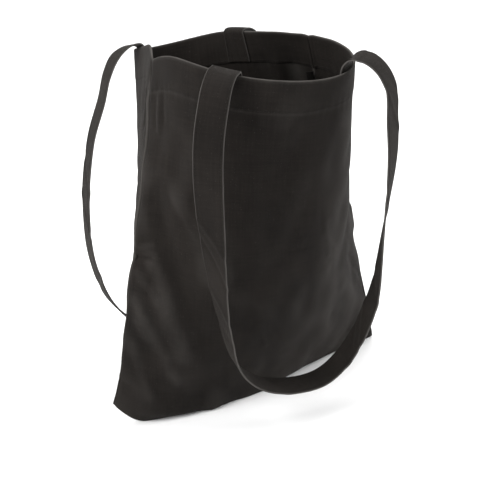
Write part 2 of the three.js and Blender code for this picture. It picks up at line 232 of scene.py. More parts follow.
def slope_direction(point_at, s, v, panel, reach=3.0):
    """Outward direction of a surface, from one panel's own cloth only."""
    low, high = panel * PANEL_WIDTH + 0.01, (panel + 1) * PANEL_WIDTH - 0.01
    across = point_at(np.clip(s + reach, low, high), v) - point_at(np.clip(s - reach, low, high), v)
    up = point_at(s, np.clip(v + reach, 0, PANEL_HEIGHT))
    down = point_at(s, np.clip(v - reach, 0, PANEL_HEIGHT))
    return unit(np.cross(across, up - down))


# ---- folds and puckers of the worn cloth ----

# Each fold: (round, up) to (round, up), half width and height out of the cloth.
FOLDS = [
    # the long diagonal hollow below the left handle, and the ridge beside it
    ((28, 262), (92, 118), 15, -5.0),
    ((28, 195), (66, 95), 13, 2.6),
    ((46, 300), (104, 190), 16, 2.2),
    # the knee of the left side seam and its creases
    ((4, 200), (28, 213), 4.5, 1.8),
    ((4, 188), (26, 194), 4.5, -2.2),
    ((10, 170), (36, 148), 6, 1.6),
    ((728, 165), (746, 180), 12, -1.6),
    # short slanting ridges above the left corner
    ((8, 140), (48, 88), 6, 2.2),
    ((14, 118), (60, 62), 7, 2.0),
    ((6, 92), (30, 40), 6, 1.8),
    # broad shallow hollows of the front
    ((190, 330), (200, 210), 34, -5.0),
    ((120, 110), (175, 60), 26, -3.0),
    ((262, 330), (268, 120), 30, 2.5),
    ((300, 130), (352, 66), 12, 3.0),
    ((322, 160), (362, 108), 7, -2.4),
    ((280, 96), (330, 40), 10, -2.0),
    ((352, 210), (372, 180), 8, 2.5),
    # puckers below the hem by the left seam
    ((12, 378), (16, 345), 4, -1.4),
    ((20, 380), (23, 340), 4, 1.2),
    ((30, 379), (31, 350), 4.5, -1.2),
    ((742, 372), (741, 330), 4, 1.6),
    ((734, 376), (733, 340), 4, -1.6),
    ((726, 374), (728, 346), 4, 1.2),
    # the notch below the hem at the right side
    ((352, 376), (378, 372), 5, -1.6),
    ((350, 362), (380, 356), 6, 1.6),
    # the back
    ((470, 300), (560, 150), 24, -5.0),
    ((430, 250), (500, 90), 18, 3.0),
    ((600, 330), (655, 200), 20, -4.0),
    ((640, 140), (720, 60), 16, 3.5),
    ((540, 110), (610, 50), 18, -3.0),
    ((390, 180), (425, 90), 12, 3.0),
    # pleats of the slack mouth by the right seam
    ((398, 418), (403, 330), 9, 2.4),
    ((417, 418), (416, 320), 8, -2.6),
    ((436, 418), (430, 340), 9, 1.8),
]

WRINKLE_SEED = 11
WRINKLE_COUNT = 54
WRINKLE_LENGTH = (22.0, 70.0)
WRINKLE_WIDTH = (2.6, 6.0)
WRINKLE_HEIGHT = (0.35, 0.9)
WRINKLE_LOWEST = 30.0
WRINKLE_HEM_MARGIN = 45.0  # clear cloth between the hem and the highest start of a wrinkle
WRINKLE_LEAN = (-0.9, 0.35)  # mean and spread of a wrinkle's heading, in radians


def small_wrinkles():
    """Faint creases all over the lower cloth, most of them running diagonally."""
    rng = np.random.default_rng(WRINKLE_SEED)
    creases = []
    for _ in range(WRINKLE_COUNT):
        s = rng.uniform(0, PERIMETER)
        v = rng.uniform(WRINKLE_LOWEST, PANEL_HEIGHT - HEM_DEPTH - WRINKLE_HEM_MARGIN)
        length = rng.uniform(*WRINKLE_LENGTH)
        lean = rng.normal(*WRINKLE_LEAN)
        rise = rng.uniform(*WRINKLE_HEIGHT) * rng.choice((-1, 1))
        end = (s + length * math.cos(lean), v + length * math.sin(lean))
        creases.append(((s, v), end, rng.uniform(*WRINKLE_WIDTH), rise))
    return creases


ALL_FOLDS = FOLDS + small_wrinkles()

RIPPLE_SEED = 7
RIPPLE_COUNT = 40
RIPPLE_SHORT = 26.0
RIPPLE_LONG = 120.0
RIPPLE_HEIGHT = 0.2  # height of one ripple of 60 mm; longer ones are higher
SEAM_DIP = 1.3
SEAM_DIP_WIDTH = 1.5
SEAM_RIDGE = 0.9  # height to which the allowances, lying towards the back, raise the cloth
SEAM_RIDGE_WIDTH = 1.3
SEAM_RIDGE_PLACE = 2.5  # behind the seam line
HEM_STEP = 0.7  # how far the doubled hem stands out over the single cloth
STITCH_GROOVE = 0.55
STITCH_GROOVE_WIDTH = 1.3
PUCKER_HEIGHT = 0.22
PUCKER_SPACING = 11.0
PUCKER_DRIFT = 37.0  # distance over which that spacing comes and goes
PUCKER_REACH = 9.0


def seam_distance(s):
    """Signed distance round from the nearest side seam."""
    left, right = seam_offsets(s)
    return np.where(np.abs(left) < np.abs(right), left, right)


def seam_ridge(d):
    return bell(d + SEAM_RIDGE_PLACE, SEAM_RIDGE_WIDTH)


def folds_at(s, v):
    """Height of the folds and puckers out of the bare shape."""
    height = np.zeros(np.broadcast(s, v).shape)
    for (s1, v1), (s2, v2), width, rise in ALL_FOLDS:
        ds, dv = s2 - s1, v2 - v1
        for turn in (-PERIMETER, 0, PERIMETER):
            u = np.clip(((s + turn - s1) * ds + (v - v1) * dv) / (ds * ds + dv * dv), 0, 1)
            d = np.hypot(s + turn - s1 - u * ds, v - v1 - u * dv)
            height = height + rise * bell(d, width)
    return height


def ripples_at(s, v):
    """Low waves in the cloth, closed round the bag."""
    rng = np.random.default_rng(RIPPLE_SEED)
    height = np.zeros(np.broadcast(s, v).shape)
    for _ in range(RIPPLE_COUNT):
        wave = RIPPLE_SHORT * (RIPPLE_LONG / RIPPLE_SHORT) ** rng.random()
        heading = rng.uniform(-1.1, 1.1)
        turns = round(PERIMETER / wave * math.cos(heading))
        climb = math.sin(heading) / wave
        phase = rng.uniform(0, 2 * math.pi)
        size = RIPPLE_HEIGHT * (wave / 60.0) ** 1.1
        height = height + size * np.sin(2 * math.pi * (turns * s / PERIMETER + climb * v) + phase)
    return height


def cloth_height(s, v):
    s, v = np.broadcast_arrays(np.asarray(s, float), np.asarray(v, float))
    d = seam_distance(s)
    below_rim = 0.3 + 0.7 * smoothstep(PANEL_HEIGHT - v, 2, 14)
    calm = smoothstep(v, 0, 22) * (0.15 + 0.85 * smoothstep(PANEL_HEIGHT - v, 0, 60))
    height = (ripples_at(s, v) + folds_at(s, v)) * calm
    height = height - SEAM_DIP * bell(d, SEAM_DIP_WIDTH) * below_rim
    hem = PANEL_HEIGHT - HEM_DEPTH
    below_hem = smoothstep(v, 10, 40) * (1 - smoothstep(v, hem - 8, hem + 6))
    height = height + SEAM_RIDGE * seam_ridge(d) * below_hem
    height = height + HEM_STEP * smoothstep(v, hem - 0.5, hem + 2.5) * smoothstep(np.abs(d), 1, 6)
    height = height - STITCH_GROOVE * bell(v - hem - HEM_STITCH_RISE, STITCH_GROOVE_WIDTH)
    pucker = np.sin(2 * math.pi * s / PUCKER_SPACING + 1.5 * np.sin(s / PUCKER_DRIFT))
    height = height + PUCKER_HEIGHT * pucker * bell(v - hem, PUCKER_REACH)
    return height + tuck_height(s, v) - foot_pinch(s, v)


TUCK_HEIGHT = 17.0  # height up the cloth of the crease where the base turns under
TUCK_OUT = 4.5
PINCH = 5.0  # how far the front's foot draws in towards the right, where nothing fills it
PINCH_HEIGHT = 20.0
# paleness of the rim, the seam ridges, the hem's edge, and a fold for each millimetre it stands out; partly
# rubbing of the cloth and partly a painted highlight on these raised places
RIM_WEAR_AND_HIGHLIGHT = 0.75
SEAM_WEAR_AND_HIGHLIGHT = 0.5
HEM_WEAR_AND_HIGHLIGHT = 0.1
FOLD_WEAR_AND_HIGHLIGHT = 0.045


def foot_pinch(s, v):
    along = smoothstep(s, 165, 235) * (1 - smoothstep(s, 325, 368))
    return PINCH * along * v / PINCH_HEIGHT * np.exp(1 - v / PINCH_HEIGHT)


def tuck_height(s, v):
    """The crease near the floor where the stuffed base turns under."""
    ends = smoothstep(s, 6, 60) * (1 - smoothstep(s, 170, 250))
    crease = np.where(v < TUCK_HEIGHT, ((TUCK_HEIGHT - v) / 8.0) ** 2, ((v - TUCK_HEIGHT) / 16.0) ** 2)
    return TUCK_OUT * ends * np.exp(-crease)


def panel_wear_and_highlight(s, path):
    """How pale a panel's cloth is painted on its rim, its seam ridges, its hem edge and its fold crests:
    partly rubbing, partly a painted highlight where they stand out.
    """
    d = seam_distance(s)
    below = smoothstep(path, 6, 30) * (1 - smoothstep(path, PANEL_HEIGHT - HEM_DEPTH, PANEL_HEIGHT))
    rim = RIM_WEAR_AND_HIGHLIGHT * bell(path - PANEL_HEIGHT - 1.2, 0.9)
    hem_edge = HEM_WEAR_AND_HIGHLIGHT * bell(path - PANEL_HEIGHT + HEM_DEPTH, 1.5)
    crests = FOLD_WEAR_AND_HIGHLIGHT * np.maximum(0, folds_at(s, path) + ripples_at(s, path)) * below
    return np.clip(rim + SEAM_WEAR_AND_HIGHLIGHT * seam_ridge(d) * below + hem_edge + crests, 0, 1)


def worn_point(s, v, panel):
    out = slope_direction(base_point, s, v, panel)
    return base_point(s, v) + out * cloth_height(s, v)[..., None]


def panel_grid(panel, columns, heights):
    """Points and outward directions of a panel's worn surface at each height and column."""
    span = PANEL_WIDTH - 2 * SEAM_GAP
    s = panel * PANEL_WIDTH + SEAM_GAP + span * np.arange(columns + 1) / columns
    s, v = np.meshgrid(s, heights)
    points = worn_point(s, v, panel)
    across = np.gradient(points, axis=1)
    up = np.gradient(points, axis=0)
    return s, v, points, unit(np.cross(across, up))


def cloth_point(s, v, distance, panel):
    """Points off the worn surface, for what is sewn to it."""
    s, v = np.broadcast_arrays(np.asarray(s, float), np.asarray(v, float))

    def at(a, b):
        return worn_point(a, b, panel)

    return at(s, v) + slope_direction(at, s, v, panel, reach=2.0) * np.asarray(distance)[..., None]


def middle_of_panels():
    """What brings the shape to the place of the CAD panels."""
    faces = []
    for panel in (0, 1):
        s = panel * PANEL_WIDTH + np.linspace(0.5, PANEL_WIDTH - 0.5, 27)
        s, v = np.meshgrid(s, np.linspace(0.5, PANEL_HEIGHT, 80))
        out = slope_direction(base_point, s, v, panel)
        faces += [base_point(s, v) + out * distance for distance in (LAY_GAP + CANVAS, LAY_GAP)]
    middle = (np.min(faces, axis=(0, 1, 2)) + np.max(faces, axis=(0, 1, 2))) / 2
    boxes = np.array([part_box("front_panel"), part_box("back_panel")])
    cad_middle = (boxes[:, 0].min(axis=0) + boxes[:, 1].max(axis=0)) / 2
    shift = cad_middle / METRES - middle
    shift[2] = CANVAS + LAY_GAP
    return shift


PLACE = middle_of_panels()


# ---- meshes ----


def add_object(name, data):
    obj = bpy.data.objects.new(name, data)
    bpy.context.scene.collection.objects.link(obj)
    return obj


def make_object(name, points, faces, uv=None, sharp_faces=(), wear_and_highlight=None):
    """A mesh object from points in millimetres in the shape's frame."""
    mesh = bpy.data.meshes.new(name)
    mesh.from_pydata((np.asarray(points) + PLACE).astype(float) * METRES, [], [list(f) for f in faces])
    mesh.validate()
    smooth = np.ones(len(mesh.polygons), bool)
    smooth[list(sharp_faces)] = False
    mesh.polygons.foreach_set("use_smooth", smooth)
    if sharp_faces:
        sharp = {key for index in sharp_faces for key in mesh.polygons[index].edge_keys}
        flags = [tuple(sorted(e.vertices)) in sharp for e in mesh.edges]
        attribute = mesh.attributes.new("sharp_edge", "BOOLEAN", "EDGE")
        attribute.data.foreach_set("value", flags)
    if uv is not None:
        layer = mesh.uv_layers.new(name="cloth")
        index = np.zeros(len(mesh.loops), int)
        mesh.loops.foreach_get("vertex_index", index)
        layer.data.foreach_set("uv", (np.asarray(uv)[index] * METRES).astype(np.float32).ravel())
    # paleness per point: partly rubbing, partly a painted highlight
    if wear_and_highlight is not None:
        rub_and_highlight = mesh.attributes.new("wear_and_highlight", "FLOAT", "POINT")
        rub_and_highlight.data.foreach_set("value", np.asarray(wear_and_highlight, np.float32).ravel())
    return add_object(name, mesh)


def signed_volume(points, faces):
    points = np.asarray(points)
    total = 0.0
    quads = np.array([f for f in faces if len(f) == 4])
    for a, b, c in ((0, 1, 2), (0, 2, 3)):
        p, q, r = points[quads[:, a]], points[quads[:, b]], points[quads[:, c]]
        total += float((p * np.cross(q, r)).sum())
    return total


def sheet_mesh(name, outer, inner, uv, wear_and_highlight):
    """A closed thick sheet between two grids of points."""
    rows, columns = outer.shape[:2]
    index = np.arange(rows * columns).reshape(rows, columns)
    side = rows * columns
    a, b = index[:-1, :-1].ravel(), index[:-1, 1:].ravel()
    c, d = index[1:, 1:].ravel(), index[1:, :-1].ravel()
    faces = np.concatenate([np.stack([a, b, c, d], 1), np.stack([a, d, c, b], 1) + side])
    border = np.concatenate([index[0, :-1], index[:-1, -1], index[-1, :0:-1], index[:0:-1, 0]])
    after = np.roll(border, -1)
    faces = np.concatenate([faces, np.stack([border, border + side, after + side, after], 1)])
    points = np.concatenate([outer.reshape(-1, 3), inner.reshape(-1, 3)])
    if signed_volume(points, faces.tolist()) < 0:
        faces = faces[:, ::-1]
    flat = np.concatenate([uv.reshape(-1, 2)] * 2)
    rub_and_highlight = np.concatenate([wear_and_highlight.ravel()] * 2)
    return make_object(name, points, faces.tolist(), flat, wear_and_highlight=rub_and_highlight)


PANEL_COLUMNS = 168
PANEL_ROWS = 168
HEM_ROWS = 18
ROLL_ROWS = 7
LAYER_GAP = 1.5  # between the middles of the hem's two layers
FLOOR_LAYER = 0.8  # least height of a panel's inner face above the floor


def make_panel(name, panel):
    """One panel: up its outside, over the rim and down the inside to the hem's edge."""
    span = PANEL_HEIGHT - SEAM_GAP
    heights = SEAM_GAP + span * (np.arange(PANEL_ROWS + 1) / PANEL_ROWS) ** 1.1
    s, v, points, out = panel_grid(panel, PANEL_COLUMNS, heights)
    outer_middle = LAY_GAP + CANVAS / 2
    layers = [points + out * outer_middle]
    paths = [v]
    rim, rim_out = points[-1], out[-1]
    up = unit(points[-1] - points[-3])
    radius = LAYER_GAP / 2
    for k in range(1, ROLL_ROWS):
        angle = math.pi * k / ROLL_ROWS
        shift = rim_out * (outer_middle - radius + radius * math.cos(angle))
        layers.append((rim + shift + up * radius * 1.2 * math.sin(angle))[None])
        paths.append(np.full((1, s.shape[1]), PANEL_HEIGHT + radius * angle))
    inner_v = PANEL_HEIGHT - HEM_DEPTH * np.arange(HEM_ROWS + 1) / HEM_ROWS
    _, vi, inside, inside_out = panel_grid(panel, PANEL_COLUMNS, inner_v[::-1])
    inside, inside_out, vi = inside[::-1], inside_out[::-1], vi[::-1]
    layers.append(inside + inside_out * (outer_middle - LAYER_GAP))
    paths.append(2 * PANEL_HEIGHT + math.pi * radius - vi)
    middle = np.concatenate(layers)
    path = np.concatenate(paths)
    across, along = np.gradient(middle, axis=1), np.gradient(middle, axis=0)
    normal = unit(np.cross(across, along))
    around = np.broadcast_to(s[0], path.shape)
    uv = np.stack([around, path], axis=-1)
    outer, inner = middle + normal * CANVAS / 2, middle - normal * CANVAS / 2
    outer[..., 2] = np.maximum(outer[..., 2], -PLACE[2])
    inner[..., 2] = np.maximum(inner[..., 2], outer[..., 2].min() + FLOOR_LAYER)
    return sheet_mesh(name, outer, inner, uv, panel_wear_and_highlight(around, path))


def rings_mesh(name, rings, uv, wear_and_highlight=None):
    """A closed bar through rings of points, with a flat cap at each end."""
    count, around = rings.shape[:2]
    index = np.arange(count * around).reshape(count, around)
    nxt = np.roll(index, -1, axis=1)
    faces = np.stack([index[:-1], nxt[:-1], nxt[1:], index[1:]], axis=-1).reshape(-1, 4).tolist()
    body = len(faces)
    half = around // 2
    for ring, order in ((index[0], -1), (index[-1], 1)):
        for k in range(1, half - 1):
            faces.append([ring[k], ring[k + 1], ring[-k - 1], ring[-k]][::order])
        faces.append([ring[0], ring[1], ring[-1]][::order])
        faces.append([ring[half - 1], ring[half], ring[half + 1]][::order])
    points = rings.reshape(-1, 3)
    if signed_volume(points, faces) < 0:
        faces = [f[::-1] for f in faces]
    return make_object(name, points, faces, uv.reshape(-1, 2), range(body, len(faces)), wear_and_highlight)


# ---- handles ----


class HandleEnd:
    """Where one end of a handle is sewn inside the hem and folds over the rim."""

    def __init__(self, s, panel, rise):
        self.s, self.panel, self.rise = s, panel, rise
        along = base_point(s + 3, PANEL_HEIGHT) - base_point(s - 3, PANEL_HEIGHT)
        along[2] = 0
        self.along = unit(along)
        self.out = np.array([self.along[1], -self.along[0], 0])
        self.apex = base_point(s, PANEL_HEIGHT) + self.out * (STRAP_SUNK + rise)
        self.apex[2] += rise

    def foot(self, across):
        return cloth_point(self.s + across, PANEL_HEIGHT, STRAP_SUNK, self.panel)


ENDS = {
    "front_left": HandleEnd(112.0, 0, 6.0),
    "front_right": HandleEnd(PANEL_WIDTH - 112.0, 0, 16.0),
    "back_left": HandleEnd(PERIMETER - 94.0, 1, 5.5),
    "back_right": HandleEnd(PANEL_WIDTH + 94.0, 1, 4.5),
}

HINGE_GAP = 0.6
SHOULDER = [(HINGE_GAP, 0, 0, 0), (11, 0, 0, 2), (24, 0, 0, 12), (34, 0, 0, 32), (41, 0, 0, 60)]


def hanging(*points):
    """Points of a leg: out, along, forward, and down as a share of the drop."""
    return [(out, along, ahead, share * STRAP_DROP) for out, along, ahead, share in points]


# Points of each loop's two legs, from the left end to the right one.
LEGS = {
    "front": (
        [(out, -2.5 * k, ahead, down) for k, (out, _, ahead, down) in enumerate(SHOULDER)]
        + hanging(
            (42, -11, 0, 0.28), (36, -7, 0, 0.5), (26, 1, 2, 0.74), (14, 14, 6, 0.91), (4, 44, 10, 0.99)
        ),
        hanging(
            (8, -52, 6, 1), (14, -24, 2, 0.93), (24, -4, 0, 0.76), (33, -2, 0, 0.52), (38, 0, 0, 0.28),
            (36, 0, 0, 0.17),
        )
        + SHOULDER[-2::-1],
    ),
    "back": (
        SHOULDER
        + hanging((55, 0, 0, 0.3), (61, -2, 0, 0.5), (58, 0, 0, 0.7), (40, 4, 2, 0.86), (14, 22, 6, 0.97)),
        hanging((4, -42, 6, 1), (14, -18, 4, 0.93), (32, -4, 0, 0.76), (42, 0, 0, 0.52), (46, 0, 0, 0.28))
        + SHOULDER[::-1],
    ),
}


def loop_points(left, right, legs):
    line = right.apex - left.apex
    line[2] = 0
    line = unit(line)
    forward = np.array([line[1], -line[0], 0])
    if forward @ left.out < 0:
        forward = -forward
    points = []
    for end, leg in ((left, legs[0]), (right, legs[1])):
        for out, along, ahead, down in leg:
            point = end.apex + end.out * out + line * along + forward * ahead
            points.append(point - np.array([0, 0, down]))
    return np.array(points), forward


def smooth_route(points, samples):
    """A centripetal Catmull-Rom curve through the points, evenly stepped."""
    first = 2 * points[0] - points[1]
    last = 2 * points[-1] - points[-2]
    p = np.concatenate([[first], points, [last]])
    fine = []
    for k in range(1, len(p) - 2):
        d0, d1, d2 = (np.linalg.norm(p[k + i] - p[k + i - 1]) ** 0.5 for i in (0, 1, 2))
        t1 = ((p[k] - p[k - 1]) / d0 - (p[k + 1] - p[k - 1]) / (d0 + d1) + (p[k + 1] - p[k]) / d1) * d1
        t2 = ((p[k + 1] - p[k]) / d1 - (p[k + 2] - p[k]) / (d1 + d2) + (p[k + 2] - p[k + 1]) / d2) * d1
        u = np.linspace(0, 1, 60, endpoint=k == len(p) - 3)[:, None]
        fine.append(
            (2 * u**3 - 3 * u**2 + 1) * p[k]
            + (u**3 - 2 * u**2 + u) * t1
            + (3 * u**2 - 2 * u**3) * p[k + 1]
            + (u**3 - u**2) * t2
        )
    fine = np.concatenate(fine)
    length = np.concatenate([[0], np.cumsum(np.linalg.norm(np.diff(fine, axis=0), axis=1))])
    even = np.linspace(0, length[-1], samples)
    return np.stack([np.interp(even, length, fine[:, i]) for i in range(3)], axis=1), length[-1]


STATION = 2.2  # spacing of a strap's rings
TURN_START = 0.08
TURN_END = 0.42
DIP_FORWARD = 0.99
DIP_DOWN = 0.14
CREST_FADE = 40.0  # length over which a strap's width straightens after the rim
STRAP_SIDE = 26  # points across each face of a strap
CREASE_DEPTH = 1.5  # scale of all the straps' creases
STRAP_EDGE_WEAR_AND_HIGHLIGHT = 1.1  # width of the pale line along each edge of a strap, partly rubbing and partly a painted highlight
STRAP_ROUNDING = 1.3  # width over which an edge of a strap rounds off
STITCH_INSET = 2.6  # from an edge of a strap to its row of stitches
STITCH_SINK = 0.3
EDGE_SWELL = 0.12

# Creases of a strap: share along the whole strap, slant, half width and height.
CREASES = {
    "front": [
        (0.17, 0.7, 6.0, -0.4), (0.243, 1.4, 4.5, 0.6), (0.271, 1.8, 4.0, -0.6), (0.325, 1.1, 5.5, 0.5),
        (0.362, 0.6, 7.0, -0.4), (0.47, 0.8, 8.0, 0.4), (0.581, -1.2, 5.0, 0.7), (0.607, -1.4, 4.5, -0.7),
        (0.652, -0.8, 6.5, 0.5), (0.76, 1.0, 7.0, 0.4), (0.866, 1.5, 5.0, 0.6), (0.9, 1.2, 5.5, -0.5),
    ],
    "back": [
        (0.22, -1.2, 5.5, 0.5), (0.27, -1.4, 5.0, -0.5), (0.36, 0.8, 6.5, 0.5), (0.45, 1.4, 5.0, -0.5),
        (0.53, 0.7, 7.0, 0.4), (0.62, -1.5, 5.5, 0.6), (0.67, -1.0, 5.0, -0.5), (0.78, 1.2, 6.0, 0.5),
    ],
}


def strap_across():
    """Places across a strap, closer together near its rounded edges."""
    u = np.linspace(-1, 1, STRAP_SIDE + 1)
    return STRAP_WIDTH / 2 * np.sin(u * math.pi / 2) * (0.55 + 0.45 * np.abs(u))


def strap_half_thickness(w):
    edge = STRAP_WIDTH / 2 - STRAP_ROUNDING
    into = np.clip((np.abs(w) - edge) / STRAP_ROUNDING, 0, 1)
    body = STRAP_THICKNESS / 2 * np.sqrt(np.maximum(0, 1 - into**2))
    from_row = np.abs(w) - (STRAP_WIDTH / 2 - STITCH_INSET)
    swell = EDGE_SWELL * bell(from_row - STITCH_INSET / 2, 0.8)
    return body + swell * (1 - into) - STITCH_SINK * bell(from_row, 0.7)


def sewn_rows(end, w):
    """Rows of a strap's middle from the lower end of its sewn part to its apex."""
    rows = []
    for v in np.arange(0, STRAP_SEWN - 0.5, STATION):
        rows.append(cloth_point(end.s + w, PANEL_HEIGHT - STRAP_SEWN + v, STRAP_SUNK, end.panel))
    foot = end.foot(w)
    steps = max(8, int(end.rise * math.pi / 2 / 1.2))
    for k in range(steps + 1):
        angle = math.pi / 2 * k / steps
        across = end.out * end.rise * (1 - math.cos(angle))
        rows.append(foot + across + np.array([0, 0, end.rise * math.sin(angle)]))
    return rows


def strap_rows(side):
    """Rows of points along a whole handle, with the rows at which its end pieces meet its loop."""
    left, right = ENDS[f"{side}_left"], ENDS[f"{side}_right"]
    w = strap_across()
    points, forward = loop_points(left, right, LEGS[side])
    _, length = smooth_route(points, 3)
    count = int(length / STATION)
    route, _ = smooth_route(points, count + 1)
    share = np.linspace(0, 1, count + 1)
    tangent = unit(np.gradient(route, axis=0))
    dipped = forward * DIP_FORWARD + np.array([0, 0, -DIP_DOWN])
    left_sign = np.sign(left.along @ forward)
    right_sign = np.sign(right.along @ forward)
    turn_in = smoothstep(share, TURN_START, TURN_END)[:, None]
    turn_out = smoothstep(share, 1 - TURN_END, 1 - TURN_START)[:, None]
    width = left.along * left_sign * (1 - turn_in) + dipped * turn_in
    width = width * (1 - turn_out) + right.along * right_sign * turn_out
    width = unit(width - tangent * (width * tangent).sum(axis=1, keepdims=True))
    loop = route[:, None, :] + width[:, None, :] * w[None, :, None]
    meetings = ((left, left_sign, share * length), (right, right_sign, (1 - share) * length))
    for end, sign, distance in meetings:
        curved = end.foot(sign * w) - end.foot(np.zeros(1)) - end.along * sign * w[:, None]
        fade = 1 - smoothstep(distance, 0, CREST_FADE)
        loop = loop + curved[None] * fade[:, None, None]
    first = sewn_rows(left, left_sign * w)
    last = sewn_rows(right, right_sign * w)[::-1]
    cut = int(END_LENGTH / length * count)
    rows = np.concatenate([first, loop[1:-1], last])
    cuts = (len(first) + cut, len(first) + len(loop) - 2 - cut)
    steps = np.linalg.norm(np.diff(rows[:, len(w) // 2], axis=0), axis=1)
    along = np.concatenate([[0], np.cumsum(steps)])
    return rows, along, w, cuts


def crumple(side, rows, along, w):
    """Slanting creases in the free part of a strap."""
    normal = unit(np.cross(np.gradient(rows, axis=0), np.gradient(rows, axis=1)))
    height = np.zeros(rows.shape[:2])
    total = along[-1]
    for share, slant, width, rise in CREASES[side]:
        d = along[:, None] - share * total - slant * w[None, :]
        height += CREASE_DEPTH * rise * bell(d, width)
    wave = np.sin(along[:, None] / 23.0 + w[None, :] * 0.11)
    wave = wave + 0.6 * np.sin(along[:, None] / 11.3 - w[None, :] * 0.2)
    height += 0.14 * wave
    free = smoothstep(along, 70, 120) * (1 - smoothstep(along, total - 120, total - 70))
    return rows + normal * (height * free[:, None])[..., None], normal


def strap_piece(name, rows, normal, along, w, low, high):
    half = strap_half_thickness(w)
    part, out = rows[low : high + 1], normal[low : high + 1]
    top = part + out * half[None, :, None]
    bottom = part - out * half[None, :, None]
    rings = np.concatenate([top, bottom[:, -2:0:-1]], axis=1)
    across = np.concatenate([w, w[-2:0:-1]])
    a, b = np.meshgrid(across, along[low : high + 1])
    # pale line along each edge: partly rubbing, partly a painted highlight
    rub_and_highlight = smoothstep(np.abs(a), STRAP_WIDTH / 2 - STRAP_EDGE_WEAR_AND_HIGHLIGHT, STRAP_WIDTH / 2)
    return rings_mesh(name, rings, np.stack([a, b], axis=-1), rub_and_highlight)


# ---- nodes ----


def new_group(name, inputs, outputs, kind="ShaderNodeTree"):
    """A node group with the given sockets, each label with its kind, and the group's two ends."""
    tree = bpy.data.node_groups.new(name, kind)
    for way, sockets in (("INPUT", inputs), ("OUTPUT", outputs)):
        for label, sort in sockets.items():
            tree.interface.new_socket(label, in_out=way, socket_type=f"NodeSocket{sort}")
    return tree, tree.nodes.new("NodeGroupInput"), tree.nodes.new("NodeGroupOutput")


def connect(tree, node, inputs):
    """Give each of a node's inputs its plain value, or link it to another node's output."""
    for key, value in inputs.items():
        if isinstance(value, bpy.types.NodeSocket):
            tree.links.new(value, node.inputs[key])
        else:
            node.inputs[key].default_value = value


def add_node(tree, kind, inputs, **settings):
    node = tree.nodes.new(kind)
    for name, value in settings.items():
        setattr(node, name, value)
    connect(tree, node, inputs)
    return node


# ---- rows of stitches ----


def stitch_tree(name, material):
    """Geometry nodes that lay stitches along an edge path, square to its 'up' direction."""
    labels = ("Stitch Spacing", "Stitch Length", "Thread Width", "Slant")
    inputs = {"Geometry": "Geometry", **dict.fromkeys(labels, "Float")}
    tree, given, result = new_group(name, inputs, {"Geometry": "Geometry"}, "GeometryNodeTree")
    sent = given.outputs

    def step(kind, inputs, **settings):
        return add_node(tree, kind, inputs, **settings).outputs

    curve = step("GeometryNodeMeshToCurve", {"Mesh": sent["Geometry"]})
    spaced = {"Curve": curve[0], "Length": sent["Stitch Spacing"]}
    points = step("GeometryNodeCurveToPoints", spaced, mode="LENGTH")
    up = step("GeometryNodeInputNamedAttribute", {"Name": "up"}, data_type="FLOAT_VECTOR")
    align = "FunctionNodeAlignRotationToVector"
    forward = step(align, {"Vector": points["Tangent"]}, axis="X")
    aimed = {"Rotation": forward[0], "Vector": up["Attribute"]}
    upright = step(align, aimed, axis="Z", pivot_axis="X")
    slant = step("ShaderNodeCombineXYZ", {"Z": sent["Slant"]})
    leaning = {"Rotation": upright[0], "Rotate By": slant[0]}
    turn = step("FunctionNodeRotateRotation", leaning, rotation_space="LOCAL")
    thread = step("GeometryNodeMeshUVSphere", {"Segments": 8, "Rings": 6, "Radius": 0.5})
    width = sent["Thread Width"]
    size = step("ShaderNodeCombineXYZ", {"X": sent["Stitch Length"], "Y": width, "Z": width})
    shaped = step("GeometryNodeTransform", {"Geometry": thread["Mesh"], "Scale": size[0]})
    laid = {"Points": points["Points"], "Instance": shaped["Geometry"], "Rotation": turn[0]}
    made = step("GeometryNodeInstanceOnPoints", laid)["Instances"]
    made = step("GeometryNodeRealizeInstances", {"Geometry": made})["Geometry"]
    made = step("GeometryNodeSetShadeSmooth", {"Geometry": made})["Geometry"]
    made = step("GeometryNodeSetMaterial", {"Geometry": made, "Material": material})["Geometry"]
    connect(tree, result, {"Geometry": made})
    return tree


def sew(name, paths, spacing, length, width, slant=0.0, body="bag"):
    """Stitches along paths of (points, up directions) in millimetres, as one plain mesh."""
    points, ups, edges = [], [], []
    for path, up in paths:
        start = len(points)
        points.extend(path)
        ups.extend(up)
        edges.extend((start + k, start + k + 1) for k in range(len(path) - 1))
    mesh = bpy.data.meshes.new(f"{name}_path")
    mesh.from_pydata((np.array(points) + PLACE) * METRES, edges, [])
    attribute = mesh.attributes.new("up", "FLOAT_VECTOR", "POINT")
    attribute.data.foreach_set("vector", np.array(ups, np.float32).ravel())
    maker = add_object(f"{name}_maker", mesh)
    modifier = maker.modifiers.new("stitches", "NODES")
    modifier.node_group = STITCHES
    values = {
        "Stitch Spacing": spacing * METRES,
        "Stitch Length": length * METRES,
        "Thread Width": width * METRES,
        "Slant": slant,
    }
    for item in STITCHES.interface.items_tree:
        if item.in_out == "INPUT" and item.name in values:
            modifier[item.identifier] = values[item.name]
    bpy.context.view_layer.update()
    evaluated = maker.evaluated_get(bpy.context.evaluated_depsgraph_get())
    made = bpy.data.meshes.new_from_object(evaluated)
    made.name = name
    maker.modifiers.clear()
    bpy.data.objects.remove(maker)
    return dress(add_object(name, made), None, body)


# ---- materials ----


def math_node(tree, operation, *values):
    return add_node(tree, "ShaderNodeMath", dict(enumerate(values)), operation=operation).outputs[0]


OVER_UNDER = 0.35  # how much a thread rises over the one it crosses
SLUB_STRETCH = (7.0, 0.35)  # how the slubs' noise is squeezed across a thread and drawn out along it
SLUB_SCALE = 60.0
BLOTCH_SCALE = 13.0
PATCH_SCALE = 70.0
LINT_SCALE = 900.0
LINT_RARITY = 0.74


